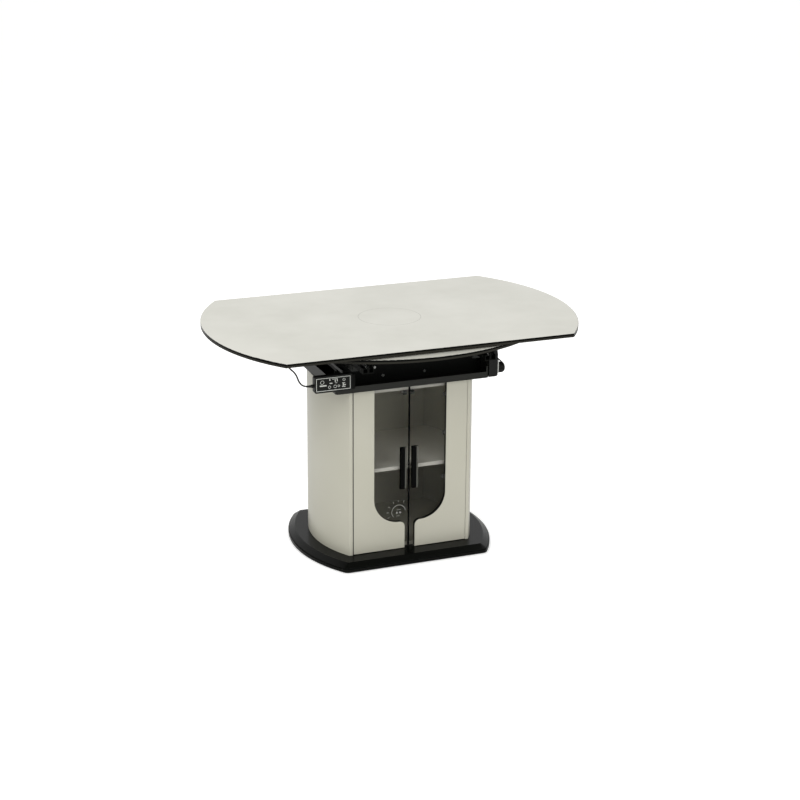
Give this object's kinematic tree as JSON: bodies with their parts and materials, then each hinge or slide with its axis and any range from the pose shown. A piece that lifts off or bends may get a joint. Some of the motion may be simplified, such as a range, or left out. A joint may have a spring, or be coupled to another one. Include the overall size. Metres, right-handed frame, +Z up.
{
  "type": "extending pedestal dining table",
  "caption": "Dining table with a straight-sided glass top, pull-out round-edged leaves and a built-in induction hob, on a curved cabinet pedestal with glazed doors.",
  "frame": {"origin": "centre of the area that the part covers, on the floor", "axes": "+X along the table's length to the right as seen from the doors, +Y away from the doors, +Z up"},
  "size_m": [1.2, 0.816, 0.75],
  "materials": {
    "gloss_black": "polished",
    "foot_rubber": "matt",
    "cream_board": "satin lacquer on board",
    "bright_steel": "zinc plated",
    "chrome": "polished",
    "white_plastic": "plain",
    "smoked_glass": "tinted",
    "dark_metal": "satin powder coat",
    "dark_board": "edged board",
    "white_glass": "glass painted on its back, so nothing shows through",
    "hob_metal": "satin",
    "copper": "lacquered copper wire",
    "ferrite": "plain sintered ferrite",
    "black_plastic": "fine texture",
    "circuit_board": "solder mask",
    "cord_jacket": "smooth"
  },
  "bodies": {
    "table": {"base_plinth": "gloss_black", "base_feet": "foot_rubber", "left_side_panel": "cream_board", "right_side_panel": "cream_board", "left_stile": "cream_board", "right_stile": "cream_board", "back_panel": "cream_board", "cabinet_floor": "cream_board", "cabinet_lid": "cream_board", "cabinet_shelf": "cream_board", "shelf_pins": "bright_steel", "door_hinge_arms": "chrome", "door_catch": "white_plastic", "frame_tray": "dark_metal", "front_web": "dark_metal", "rear_web": "dark_metal", "left_cheek": "dark_metal", "right_cheek": "dark_metal", "leaf_rails": "dark_metal", "rail_brackets": "dark_metal", "frame_screws": "bright_steel", "top_board": "dark_board", "top_glass": "white_glass", "hob_housing": "hob_metal", "hob_coil": "copper", "hob_coil_former": "black_plastic", "hob_ferrites": "ferrite", "hob_circuit": "circuit_board", "hob_fan_frame": "black_plastic", "control_case": "black_plastic", "control_fascia": "gloss_black", "control_bracket": "dark_metal", "cord_glands": "black_plastic", "control_cord": "cord_jacket", "lock_block": "black_plastic", "lock_washer": "bright_steel"},
    "front_leaf": {"front_leaf_board": "dark_board", "front_leaf_glass": "white_glass", "front_leaf_runners": "dark_metal", "front_leaf_crossbar": "dark_metal", "front_lift_brackets": "dark_metal", "front_lift_arms": "dark_metal", "front_lift_springs": "bright_steel"},
    "rear_leaf": {"rear_leaf_board": "dark_board", "rear_leaf_glass": "white_glass", "rear_leaf_runners": "dark_metal", "rear_leaf_crossbar": "dark_metal", "rear_lift_brackets": "dark_metal", "rear_lift_arms": "dark_metal", "rear_lift_springs": "bright_steel"},
    "left_door": {"left_door_panel": "cream_board", "left_door_glass": "smoked_glass", "left_door_handle": "gloss_black", "left_door_hardware": "chrome"},
    "right_door": {"right_door_panel": "cream_board", "right_door_glass": "smoked_glass", "right_door_handle": "gloss_black", "right_door_hardware": "chrome"},
    "knob": {"lock_knob": "black_plastic"},
    "fan": {"hob_fan_rotor": "black_plastic"}
  },
  "joints": [
    {"name": "front_leaf_slide", "type": "slide", "parent": "table", "child": "front_leaf", "axis": [0, -1, 0], "range_m": [0, 0.193]},
    {"name": "rear_leaf_slide", "type": "slide", "parent": "table", "child": "rear_leaf", "axis": [0, 1, 0], "range_m": [0, 0.193]},
    {"name": "left_door_hinge", "type": "hinge", "parent": "table", "child": "left_door", "pos_m": [-0.19314, -0.189, 0.3], "axis": [0, 0, -1], "range_deg": [0, 105]},
    {"name": "right_door_hinge", "type": "hinge", "parent": "table", "child": "right_door", "pos_m": [0.19314, -0.189, 0.3], "axis": [0, 0, 1], "range_deg": [0, 105]},
    {"name": "lock_knob_turn", "type": "hinge", "parent": "table", "child": "knob", "pos_m": [0.29, -0.196, 0.607], "axis": [1, 0, 0], "range_deg": [0, 90]},
    {"name": "hob_fan_spin", "type": "hinge", "parent": "table", "child": "fan", "pos_m": [0.055, 0.055, 0.688], "axis": [0, 0, 1], "continuous": true}
  ]
}
